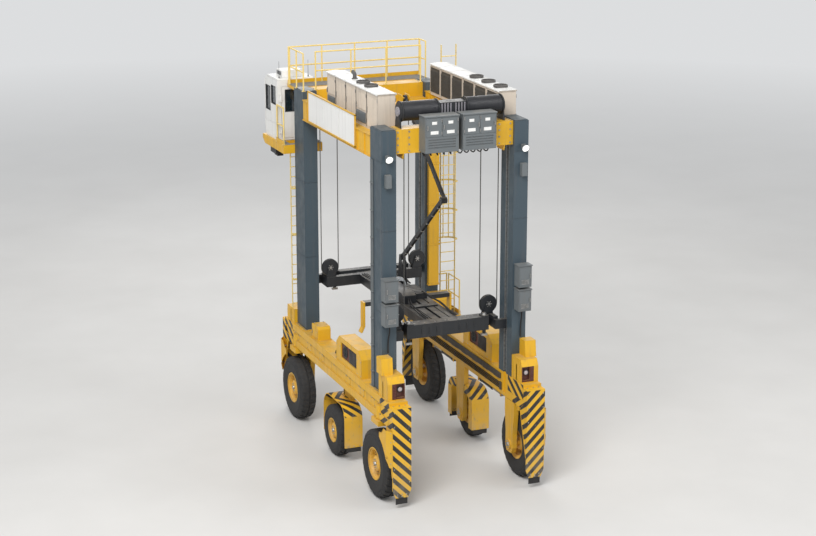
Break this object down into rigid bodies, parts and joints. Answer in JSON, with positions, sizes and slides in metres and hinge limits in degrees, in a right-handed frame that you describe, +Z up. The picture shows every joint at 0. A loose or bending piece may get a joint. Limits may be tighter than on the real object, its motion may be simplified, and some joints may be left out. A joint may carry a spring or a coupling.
{
  "type": "straddle carrier",
  "caption": "Self-driving portal on six wheels with a hoisted telescoping spreader, a cab at the top rear corner, ladders and striped wheel guards.",
  "frame": {"origin": "on the ground, in the middle of the box round the whole machine", "axes": "+Z up, -Y the way the machine faces in the picture (front), +X to the right of that picture, so the cab hangs at -X +Y"},
  "size_m": [5.27, 10, 11.271],
  "materials": {
    "yellow_paint": "semi-gloss golden yellow paint",
    "pale_yellow_paint": "pale yellow paint",
    "slate_paint": "satin slate blue-grey paint",
    "grey_paint": "satin grey paint",
    "beige_panel": "matt beige-white paint",
    "white_panel": "white paint",
    "black_paint": "satin black paint",
    "cast_block": "raw cast iron",
    "tyre_rubber": "worn tyre rubber",
    "rim_paint": "yellow rim paint",
    "cab_window": "tinted glass",
    "seat_fabric": "black woven seat and moulded desk",
    "rope_steel": "greased steel wire rope"
  },
  "bodies": {
    "chassis": {"side_beams": "yellow_paint", "legs": "slate_paint", "cable_duct": "yellow_paint", "top_beams": "yellow_paint", "cross_beams": "yellow_paint", "cabinet_left": "beige_panel", "engine_block": "cast_block", "cabinet_right": "beige_panel", "front_boxes": "grey_paint", "hoist_drums": "black_paint", "sign_panel": "white_panel", "drive_units": "yellow_paint", "wheel_guards": "yellow_paint", "middle_arms": "yellow_paint", "cab_shell": "white_panel", "cab_glass": "cab_window", "cab_fittings": "seat_fabric", "platforms": "yellow_paint", "handrails": "pale_yellow_paint", "ladders": "pale_yellow_paint", "hoist_ropes": "rope_steel"},
    "steer_front_left": {"arm_front_left": "yellow_paint"},
    "wheel_front_left": {"tyre_front_left": "tyre_rubber", "rim_front_left": "rim_paint"},
    "steer_front_right": {"arm_front_right": "yellow_paint"},
    "wheel_front_right": {"tyre_front_right": "tyre_rubber", "rim_front_right": "rim_paint"},
    "wheel_middle_left": {"tyre_middle_left": "tyre_rubber", "rim_middle_left": "rim_paint"},
    "wheel_middle_right": {"tyre_middle_right": "tyre_rubber", "rim_middle_right": "rim_paint"},
    "steer_rear_left": {"arm_rear_left": "yellow_paint"},
    "wheel_rear_left": {"tyre_rear_left": "tyre_rubber", "rim_rear_left": "rim_paint"},
    "steer_rear_right": {"arm_rear_right": "yellow_paint"},
    "wheel_rear_right": {"tyre_rear_right": "tyre_rubber", "rim_rear_right": "rim_paint"},
    "spreader": {"spreader_frame": "black_paint", "spreader_sheaves": "black_paint", "spreader_guides": "yellow_paint"},
    "spreader_front": {"spreader_end_front": "black_paint"},
    "spreader_rear": {"spreader_end_rear": "black_paint"},
    "link_upper": {"link_upper": "black_paint"},
    "link_lower": {"link_lower": "black_paint"},
    "cab_door": {"cab_door": "white_panel"}
  },
  "joints": [
    {"name": "steer_front_left", "type": "hinge", "parent": "chassis", "child": "steer_front_left", "pos_m": [-2.28, -3.875, 2.248], "axis": [0, 0, 1], "range_deg": [-35, 35]},
    {"name": "spin_front_left", "type": "hinge", "parent": "steer_front_left", "child": "wheel_front_left", "pos_m": [-2.28, -3.875, 0.95], "axis": [1, 0, 0], "continuous": true},
    {"name": "steer_front_right", "type": "hinge", "parent": "chassis", "child": "steer_front_right", "pos_m": [1.96, -3.875, 2.248], "axis": [0, 0, 1], "range_deg": [-35, 35]},
    {"name": "spin_front_right", "type": "hinge", "parent": "steer_front_right", "child": "wheel_front_right", "pos_m": [1.96, -3.875, 0.95], "axis": [1, 0, 0], "continuous": true},
    {"name": "spin_middle_left", "type": "hinge", "parent": "chassis", "child": "wheel_middle_left", "pos_m": [-2.28, -0.45, 0.745], "axis": [1, 0, 0], "continuous": true},
    {"name": "spin_middle_right", "type": "hinge", "parent": "chassis", "child": "wheel_middle_right", "pos_m": [1.96, -0.45, 0.745], "axis": [1, 0, 0], "continuous": true},
    {"name": "steer_rear_left", "type": "hinge", "parent": "chassis", "child": "steer_rear_left", "pos_m": [-2.28, 2.975, 2.248], "axis": [0, 0, 1], "range_deg": [-35, 35]},
    {"name": "spin_rear_left", "type": "hinge", "parent": "steer_rear_left", "child": "wheel_rear_left", "pos_m": [-2.28, 2.975, 0.95], "axis": [1, 0, 0], "continuous": true},
    {"name": "steer_rear_right", "type": "hinge", "parent": "chassis", "child": "steer_rear_right", "pos_m": [1.96, 2.975, 2.248], "axis": [0, 0, 1], "range_deg": [-35, 35]},
    {"name": "spin_rear_right", "type": "hinge", "parent": "steer_rear_right", "child": "wheel_rear_right", "pos_m": [1.96, 2.975, 0.95], "axis": [1, 0, 0], "continuous": true},
    {"name": "hoist", "type": "slide", "parent": "chassis", "child": "spreader", "axis": [0, 0, 1], "range_m": [-1.7, 3.9], "deforming": ["hoist_ropes"]},
    {"name": "telescope_front", "type": "slide", "parent": "spreader", "child": "spreader_front", "axis": [0, -1, 0], "range_m": [0, 3.066]},
    {"name": "telescope_rear", "type": "slide", "parent": "spreader", "child": "spreader_rear", "axis": [0, 1, 0], "range_m": [0, 3.066]},
    {"name": "fold_upper", "type": "hinge", "parent": "chassis", "child": "link_upper", "pos_m": [0.29, 0.75, 10.05], "axis": [1, 0, 0], "range_deg": [-34, 16]},
    {"name": "fold_lower", "type": "hinge", "parent": "link_upper", "child": "link_lower", "pos_m": [0.2, -2.17233, 7.7], "axis": [1, 0, 0], "range_deg": [-30, 67]},
    {"name": "cab_door", "type": "hinge", "parent": "chassis", "child": "cab_door", "pos_m": [-2.453, 3.715, 9.35], "axis": [0, 0, 1], "range_deg": [-90, 0]}
  ],
  "couplings": [
    {"joint": "telescope_rear", "follows": "telescope_front", "ratio": 1},
    {"joint": "fold_upper", "follows": "hoist", "rad_per_m": -0.14626},
    {"joint": "fold_lower", "follows": "hoist", "rad_per_m": 0.29251}
  ]
}
